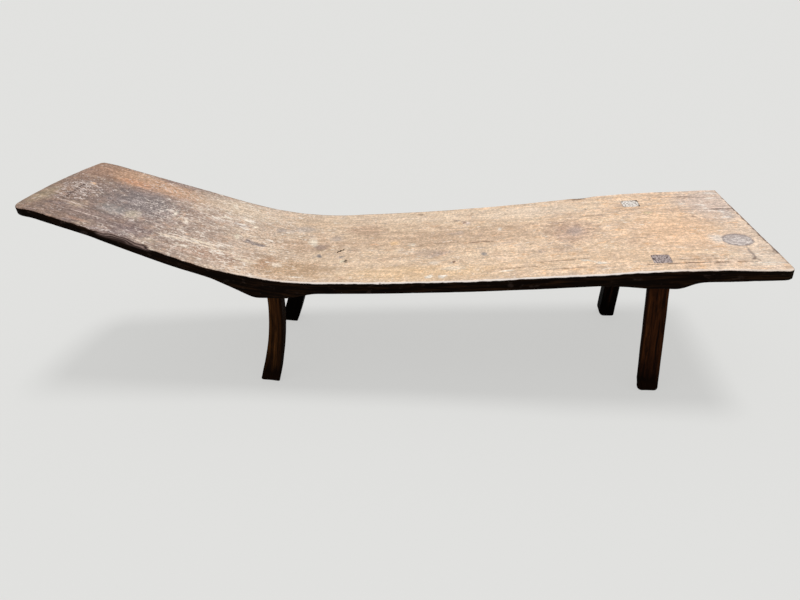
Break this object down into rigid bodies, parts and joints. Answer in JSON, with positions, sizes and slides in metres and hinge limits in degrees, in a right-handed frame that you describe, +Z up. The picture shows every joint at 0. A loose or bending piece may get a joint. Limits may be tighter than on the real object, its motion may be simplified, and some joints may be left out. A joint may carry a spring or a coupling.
{
  "type": "daybed",
  "caption": "Hand-hewn wooden daybed: a broad plank with a raised sloping headrest and a dipped seat, carried by short legs tenoned into thick bosses.",
  "frame": {"origin": "on the floor, under the middle of the bed's length and width", "axes": "+X runs along the bed from the head end to the foot end, +Y to the left of somebody lying on it, +Z up"},
  "size_m": [2.0437, 0.5478, 0.586],
  "materials": {
    "plank_wood": "worn, hand-polished and weathered tropical hardwood, dark on the sides",
    "leg_wood": "dark oiled and smoked hardwood, satin"
  },
  "bodies": {
    "root": {"plank": "plank_wood", "right_head_leg": "leg_wood", "left_head_leg": "leg_wood", "right_foot_leg": "leg_wood", "left_foot_leg": "leg_wood"}
  },
  "joints": []
}
